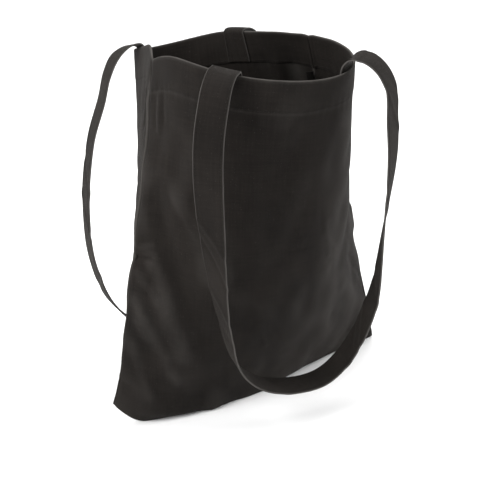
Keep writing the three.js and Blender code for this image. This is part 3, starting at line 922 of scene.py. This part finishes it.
def weave_group():
    """Plain weave from the cloth's own flat coordinates: height of the threads and their gaps."""
    inputs = {"Vector": "Vector", "Threads Per Metre": "Float"}
    tree, given, result = new_group("plain weave", inputs, {"Height": "Float", "Gap": "Float"})
    split = add_node(tree, "ShaderNodeSeparateXYZ", {0: given.outputs["Vector"]}).outputs
    density = given.outputs["Threads Per Metre"]
    x, y = (
        math_node(tree, "MULTIPLY", math_node(tree, "MULTIPLY", split[k], density), math.pi) for k in (0, 1)
    )
    round_x, round_y = (math_node(tree, "ABSOLUTE", math_node(tree, "SINE", k)) for k in (x, y))
    over = math_node(tree, "MULTIPLY", math_node(tree, "COSINE", x), math_node(tree, "COSINE", y))
    threads = math_node(tree, "MULTIPLY", round_x, round_y)
    height = math_node(tree, "ADD", threads, math_node(tree, "MULTIPLY", over, OVER_UNDER))
    connect(tree, result, {"Height": height, "Gap": math_node(tree, "SUBTRACT", 1.0, threads)})
    return tree


def wear_and_highlight_group():
    """Slubby streaks along both threads, soft blotches, lint specks, and paleness on what stands proud:
    partly rubbing, partly a painted highlight.
    """
    outputs = dict.fromkeys(("Streaks", "Blotches", "Edges", "Lint"), "Float")
    inputs = {"Flat": "Vector", "Place": "Vector"}
    tree, given, result = new_group("washed cotton wear", inputs, outputs)

    def noise(vector, scale, detail, rough=0.55, stretch=None):
        if stretch:
            mapping = add_node(tree, "ShaderNodeMapping", {"Vector": vector, "Scale": stretch})
            vector = mapping.outputs[0]
        inputs = {"Vector": vector, "Scale": scale, "Detail": detail, "Roughness": rough}
        return add_node(tree, "ShaderNodeTexNoise", inputs).outputs[0]

    flat, place = given.outputs["Flat"], given.outputs["Place"]
    across, along = SLUB_STRETCH
    warp = noise(flat, SLUB_SCALE, 3.0, stretch=(across, along, 1.0))
    weft = noise(flat, SLUB_SCALE, 3.0, stretch=(along, across, 1.0))
    rub_and_highlight = add_node(tree, "ShaderNodeAttribute", {}, attribute_name="wear_and_highlight").outputs["Fac"]
    patchy = math_node(tree, "ADD", noise(place, PATCH_SCALE, 3.0), 0.45)
    specks = math_node(tree, "GREATER_THAN", noise(place, LINT_SCALE, 1.0, 0.4), LINT_RARITY)
    found = {
        "Streaks": math_node(tree, "MULTIPLY", math_node(tree, "ADD", warp, weft), 0.5),
        "Blotches": noise(place, BLOTCH_SCALE, 5.0),
        # pale raised places: partly rubbing, partly a painted highlight
        "Edges": math_node(tree, "MULTIPLY", rub_and_highlight, patchy),
        "Lint": specks,
    }
    connect(tree, result, found)
    return tree


def mix_colour(tree, factor, a, b):
    a, b = ((*c, 1) if isinstance(c, tuple) else c for c in (a, b))
    inputs = {"Factor": factor, 6: a, 7: b}
    return add_node(tree, "ShaderNodeMix", inputs, data_type="RGBA").outputs[2]


# colour of the painted shade in the gaps between the threads
THREAD_GAP_SHADE = (0.0022, 0.0019, 0.0018)
LINT = (0.06, 0.055, 0.05)
TONE_RANGE = (0.82, 1.18)  # sums of the two noises that give the darkest and the lightest cloth
GAP_SHARE = 0.5
LINT_SHARE = 0.4
ROUGHNESS = 0.82
SHEEN_TINT = (0.62, 0.57, 0.53, 1)
BUMP_DEPTH = 0.00025  # metres


def new_material(name):
    material = bpy.data.materials.new(name)
    material.use_nodes = True
    return material, material.node_tree, material.node_tree.nodes["Principled BSDF"]


def cloth_material(name, dark, light, worn, threads, bump, coordinates="UV"):
    material, tree, bsdf = new_material(name)
    place = tree.nodes.new("ShaderNodeTexCoord").outputs
    given = {"Flat": place[coordinates], "Place": place["Object"]}
    wear_and_highlight = add_node(tree, "ShaderNodeGroup", {}, node_tree=WEAR_AND_HIGHLIGHT)
    connect(tree, wear_and_highlight, given)
    weave = add_node(tree, "ShaderNodeGroup", {}, node_tree=WEAVE)
    connect(tree, weave, {"Threads Per Metre": threads, "Vector": place[coordinates]})
    streaks = wear_and_highlight.outputs["Streaks"]
    tone = math_node(tree, "ADD", streaks, wear_and_highlight.outputs["Blotches"])
    limits = {"Value": tone, "From Min": TONE_RANGE[0], "From Max": TONE_RANGE[1]}
    colour = mix_colour(tree, add_node(tree, "ShaderNodeMapRange", limits).outputs["Result"], dark, light)
    # painted shade in the gaps between the threads
    between = math_node(tree, "MULTIPLY", weave.outputs["Gap"], GAP_SHARE)
    specks = math_node(tree, "MULTIPLY", wear_and_highlight.outputs["Lint"], LINT_SHARE)
    # the worn colour is a pale colour for rubbing and painted highlight on raised places
    for share, tone in ((between, THREAD_GAP_SHADE), (wear_and_highlight.outputs["Edges"], worn), (specks, LINT)):
        colour = mix_colour(tree, share, colour, tone)
    height = math_node(tree, "ADD", weave.outputs["Height"], streaks)
    bumps = {"Strength": bump, "Distance": BUMP_DEPTH, "Height": height}
    surface = {
        "Base Color": colour,
        "Roughness": math_node(tree, "ADD", math_node(tree, "MULTIPLY", streaks, 0.12), ROUGHNESS),
        "Specular IOR Level": 0.12,
        "Sheen Weight": 0.05,
        "Sheen Roughness": 0.4,
        "Sheen Tint": SHEEN_TINT,
        "Normal": add_node(tree, "ShaderNodeBump", bumps).outputs[0],
    }
    connect(tree, bsdf, surface)
    return material


WEAVE, WEAR_AND_HIGHLIGHT = weave_group(), wear_and_highlight_group()
# Each cloth: its darkest and lightest colours, its pale colour for rubbing and painted highlight on raised
# places, threads per metre and strength of its bumps.
CANVAS_TONES = ((0.0075, 0.006, 0.0049), (0.0155, 0.0127, 0.0107))
EDGE_TONES = ((0.006, 0.0052, 0.0046), (0.011, 0.0096, 0.0086), (0.04, 0.036, 0.033))
THREAD_TONES = ((0.012, 0.0105, 0.0095), (0.022, 0.0195, 0.0178), (0.06, 0.055, 0.05))
BAG_CANVAS = cloth_material("black_bag_canvas", *CANVAS_TONES, (0.075, 0.07, 0.065), 1500.0, 0.55)
STRAP_CANVAS = cloth_material("black_strap_canvas", *CANVAS_TONES, (0.068, 0.064, 0.06), 1500.0, 0.55)
OVERLOCK = cloth_material("black_overlocked_edge", *EDGE_TONES, 1200.0, 0.6, "Object")
THREAD = cloth_material("black_thread", *THREAD_TONES, 4000.0, 0.3, "Object")
STITCHES = stitch_tree("rows of stitches", THREAD)

# Spacing, length and thickness of the stitches of each row, and the slant of the overlock.
OVERLOCK_STITCH = (2.4, 3.6, 0.6, 1.1)
HEM_STITCH = (3.0, 2.5, 0.62)
TACK_STITCH = (2.8, 2.3, 0.62)
STRAP_STITCH = (3.2, 2.6, 0.5)


def dress(obj, material, body=None):
    if material is not None:
        obj.data.materials.clear()
        obj.data.materials.append(material)
    if body:
        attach(obj, body)
    return obj


# ---- the bag ----

front = dress(make_panel("front_panel_canvas", 0), BAG_CANVAS, "bag")
back = dress(make_panel("back_panel_canvas", 1), BAG_CANVAS, "bag")
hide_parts("front_panel")
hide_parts("back_panel")


# Half of a seam edge's section: depth into the bag and half thickness.
SEAM_PROFILE = [
    (2.2, 0.5), (SEAM_ALLOWANCE * 0.6, 0.8), (SEAM_ALLOWANCE + 1.4, 0.75), (SEAM_ALLOWANCE + 2.2, 0.25),
]
# Section of the bottom seam's edge: share of its width and height over the base.
BOTTOM_PROFILE = [
    (-0.5, 0.3), (-0.42, 1.2), (0, 1.5), (0.42, 1.2), (0.5, 0.3), (0.42, -0.1), (0, -0.2), (-0.42, -0.1),
]


# Waves of a seam's free edge: height, length over two pi and phase.
SEAM_WAVES = ((0.9, 13.0, 0.0), (0.5, 5.1, 1.0))
OVERLOCK_REACH = 1.2  # from the end of the allowance to the middle of the overlock
OVERLOCK_ASIDE = 0.9
SEAM_PROBE = 5.0  # distance round from a seam at which its panels' directions are taken


def seam_strip(name, s):
    """The two raw edges inside a side seam, pressed together, with a wavy free edge."""
    v = np.arange(SEAM_FOOT, PANEL_HEIGHT - HEM_DEPTH - 2, 3.0)
    at_left = s == 0
    seam = worn_point(s, v, 0)
    front_out = slope_direction(base_point, s, v, 0)
    back_out = slope_direction(base_point, PERIMETER if at_left else s, v, 1)
    # the right seam's edge leans towards the left seam
    ahead = unit(base_point(SEAM_PROBE if at_left else PERIMETER, v) - seam)
    behind = unit(base_point(PERIMETER - SEAM_PROBE if at_left else s + SEAM_PROBE, v) - seam)
    inward = unit(ahead + behind - front_out - back_out)
    spread = unit(front_out - back_out)
    wave = sum(height * np.sin(v / length + phase) for height, length, phase in SEAM_WAVES)
    bend = 0.5 * wave[:, None]
    deep, wide = np.array(SEAM_PROFILE + [(d, -w) for d, w in SEAM_PROFILE[::-1]]).T
    aside = wide + bend * (deep / SEAM_ALLOWANCE) ** 2
    rings = seam[:, None] + inward[:, None] * deep[:, None] + spread[:, None] * aside[..., None]
    uv = np.stack(np.meshgrid(np.arange(8.0), v), axis=-1)
    strip = rings_mesh(name, rings, uv)
    middles = seam + inward * (SEAM_ALLOWANCE + OVERLOCK_REACH) + spread * bend * 1.3
    paths = [(middles + spread * side * OVERLOCK_ASIDE, spread * side) for side in (1, -1)]
    return strip, paths


for name, s in (("left_side_seam", 0), ("right_side_seam", PANEL_WIDTH)):
    strip, paths = seam_strip(f"{name}_edge", s)
    dress(strip, OVERLOCK, "bag")
    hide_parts(name)
    sew(f"{name}_overlock", paths, *OVERLOCK_STITCH)


BASE_SEAM_INSET = 52.0  # bare length at each end of the bottom seam
BASE_SEAM_STEPS = 90
BASE_SEAM_PLACE = 4.0  # height up the cloth, where the room for the edges is measured
BASE_SEAM_ROOM = 3.6  # that width taken up by the cloth and its gaps
BASE_SEAM_RISE = 1.2
BASE_SEAM_WAVE = (0.2, 6.0)  # height, and length over two pi
BASE_THREAD_RISE = 0.1


def bottom_strip():
    """The raw edges of the bottom seam, lying on the base inside."""
    s = np.linspace(BASE_SEAM_INSET, PANEL_WIDTH - BASE_SEAM_INSET, BASE_SEAM_STEPS)
    near = worn_point(s, BASE_SEAM_PLACE, 0)
    far = worn_point(PERIMETER - s, BASE_SEAM_PLACE, 1)
    across = (far - near) * (1, 1, 0)
    width = np.minimum(SEAM_ALLOWANCE, np.linalg.norm(across, axis=1) - BASE_SEAM_ROOM)
    across = unit(across)
    middle = (near + far) / 2
    wave = BASE_SEAM_WAVE[0] * np.sin(s / BASE_SEAM_WAVE[1])
    floor = np.maximum(near[:, 2], far[:, 2]) + BASE_SEAM_RISE + wave
    shares, rises = np.array(BOTTOM_PROFILE).T
    rings = middle[:, None] + (across * width[:, None])[:, None] * shares[:, None]
    rings[..., 2] = floor[:, None] + rises
    uv = np.stack(np.meshgrid(np.arange(8.0), s), axis=-1)
    strip = rings_mesh("bottom_seam_edge", rings, uv)
    top = middle + across * (width * 0.3)[:, None]
    top[:, 2] = floor + rises.max() + BASE_THREAD_RISE
    return strip, [(top, np.tile([0, 0, 1.0], (len(s), 1)))]


strip, paths = bottom_strip()
dress(strip, OVERLOCK, "bag")
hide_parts("bottom_seam")
sew("bottom_seam_overlock", paths, *OVERLOCK_STITCH)


THREAD_LIFT = 0.05  # from the cloth's faces to the middle of the hem's thread


def hem_paths():
    paths = []
    for panel in (0, 1):
        s = panel * PANEL_WIDTH + np.linspace(0.8, PANEL_WIDTH - 0.8, 240)
        v = PANEL_HEIGHT - HEM_DEPTH + HEM_STITCH_RISE
        for distance in (LAY_GAP + CANVAS + THREAD_LIFT, LAY_GAP - LAYER_GAP - THREAD_LIFT):
            points = cloth_point(s, v, distance, panel)
            up = slope_direction(base_point, s, v, panel) * np.sign(distance)
            paths.append((points, up))
    return paths


hem = sew("hem_stitches", hem_paths(), *HEM_STITCH)
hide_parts("hem_stitching")


def tack_paths(end):
    """A box of stitches with a cross in it, on a handle's sewn end."""
    middle = PANEL_HEIGHT - STRAP_SEWN + TACK_RISE + TACK_HEIGHT / 2
    corners = [(-1, -1), (1, -1), (1, 1), (-1, 1), (-1, -1), (1, 1), (1, -1), (-1, 1)]
    paths = []
    for (x1, y1), (x2, y2) in zip(corners, corners[1:]):
        u = np.linspace(0, 1, 14)
        s = end.s + (x1 + (x2 - x1) * u) * TACK_WIDTH / 2
        v = middle + (y1 + (y2 - y1) * u) * TACK_HEIGHT / 2
        face = STRAP_SUNK - STRAP_THICKNESS / 2 - 0.02
        points = cloth_point(s, v, face, end.panel)
        paths.append((points, -slope_direction(base_point, s, v, end.panel)))
    return paths


for name, end in ENDS.items():
    tack = sew(f"{name}_tack_stitches", tack_paths(end), *TACK_STITCH)
    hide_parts(f"{name}_tack_stitching")


# ---- the handles, each in an end piece that bends over the rim, a loop, and another end ----


def line_along(grid, w, place):
    """The line of a strap's grid of vectors at one place across its width."""
    return np.stack([[np.interp(place, w, row[:, i]) for i in range(3)] for row in grid])


for side in ("front", "back"):
    rows, along, w, cuts = strap_rows(side)
    rows, normal = crumple(side, rows, along, w)
    body = f"{side}_handle"
    spans = [
        (f"{side}_left", 0, cuts[0]),
        (None, cuts[0], cuts[1]),
        (f"{side}_right", cuts[1], len(rows) - 1),
    ]
    for end_name, low, high in spans:
        piece_name = f"{end_name}_handle_strap" if end_name else f"{side}_handle_strap"
        ridden = None if end_name else body
        piece = strap_piece(piece_name, rows, normal, along, w, low, high)
        dress(piece, STRAP_CANVAS, ridden)
        paths = []
        for edge in (-1, 1):
            place = edge * (STRAP_WIDTH / 2 - STITCH_INSET)
            line = line_along(rows[low : high + 1], w, place)
            up = line_along(normal[low : high + 1], w, place)
            lift = STRAP_THICKNESS / 2 - 0.2
            paths += [(line + up * lift, up), (line - up * lift, -up)]
        stitches = sew(f"{piece_name}_stitches", paths, *STRAP_STITCH, body=ridden)
        if end_name:
            end = ENDS[end_name]
            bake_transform(piece)
            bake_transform(stitches)
            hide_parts(f"{end_name}_handle_end")
        else:
            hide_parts(body)


# ---- floor, light and camera ----


FLOOR_NEAR = -6.0
FLOOR_FAR = 2.2
FLOOR_SIDE = 8.0
SWEEP_RADIUS = 0.9
SWEEP_STEPS = 16
WALL_TOP = 3.5
SWEEP_AZIMUTH = math.radians(-41)


def floor_sweep():
    """A pale floor that sweeps up behind into a wall."""
    outline = [(FLOOR_NEAR, 0.0), (FLOOR_FAR, 0.0)]
    for k in range(1, SWEEP_STEPS + 1):
        angle = math.pi / 2 * k / SWEEP_STEPS
        out, up = math.sin(angle), 1 - math.cos(angle)
        outline.append((FLOOR_FAR + SWEEP_RADIUS * out, SWEEP_RADIUS * up))
    outline.append((FLOOR_FAR + SWEEP_RADIUS, WALL_TOP))
    cos, sin = math.cos(SWEEP_AZIMUTH), math.sin(SWEEP_AZIMUTH)
    corners = [(x, y, z) for y, z in outline for x in (-FLOOR_SIDE, FLOOR_SIDE)]
    points = [(x * cos - y * sin, x * sin + y * cos, z) for x, y, z in corners]
    faces = [(k, k + 1, k + 3, k + 2) for k in range(0, 2 * len(outline) - 2, 2)]
    mesh = bpy.data.meshes.new("floor")
    mesh.from_pydata(points, [], faces)
    mesh.polygons.foreach_set("use_smooth", [True] * len(faces))
    obj = add_object("floor", mesh)
    material, tree, bsdf = new_material("pale_floor")
    paint = {"Base Color": (0.9, 0.9, 0.9, 1), "Roughness": 0.9, "Specular IOR Level": 0.1}
    connect(tree, bsdf, paint)
    mesh.materials.append(material)
    obj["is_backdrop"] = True


def area_light(name, place, target, size, power):
    data = bpy.data.lights.new(name, "AREA")
    data.shape = "RECTANGLE"
    data.size, data.size_y = size
    data.energy = power
    light = add_object(name, data)
    light.location = place
    light.rotation_euler = (Vector(target) - Vector(place)).to_track_quat("-Z", "Y").to_euler()


floor_sweep()
WORLD_STRENGTH = 0.75
world = bpy.data.worlds.new("studio")
world.use_nodes = True
connect(world.node_tree, world.node_tree.nodes["Background"], {0: (1, 1, 1, 1), 1: WORLD_STRENGTH})
bpy.context.scene.world = world
area_light("left_softbox", (-2.3, -0.1, 1.5), (0, 0, 0.2), (1.2, 1.8), 75)
area_light("right_softbox", (1.9, -1.5, 1.1), (0, 0, 0.2), (0.9, 1.6), 42)
area_light("top_softbox", (0.2, 0.3, 2.4), (0, 0, 0), (2.0, 2.0), 46)

VIEW_AZIMUTH = math.radians(-40.86)
VIEW_ELEVATION = math.radians(21.54)
VIEW_DISTANCE = 1.722
VIEW_LENS = 115.3
VIEW_AIM = Vector((-0.0199, 0.0035, 0.1798))

camera_data = bpy.data.cameras.new("camera")
camera_data.lens = VIEW_LENS
camera_data.sensor_width = 36
camera_data.clip_end = 50
camera = add_object("camera", camera_data)
away = Vector((math.sin(VIEW_AZIMUTH), -math.cos(VIEW_AZIMUTH), math.tan(VIEW_ELEVATION)))
camera.location = VIEW_AIM + away * math.cos(VIEW_ELEVATION) * VIEW_DISTANCE
camera.rotation_euler = (VIEW_AIM - camera.location).to_track_quat("-Z", "Y").to_euler()
bpy.context.scene.camera = camera
bpy.context.scene.view_settings.view_transform = "Standard"

low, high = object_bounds()
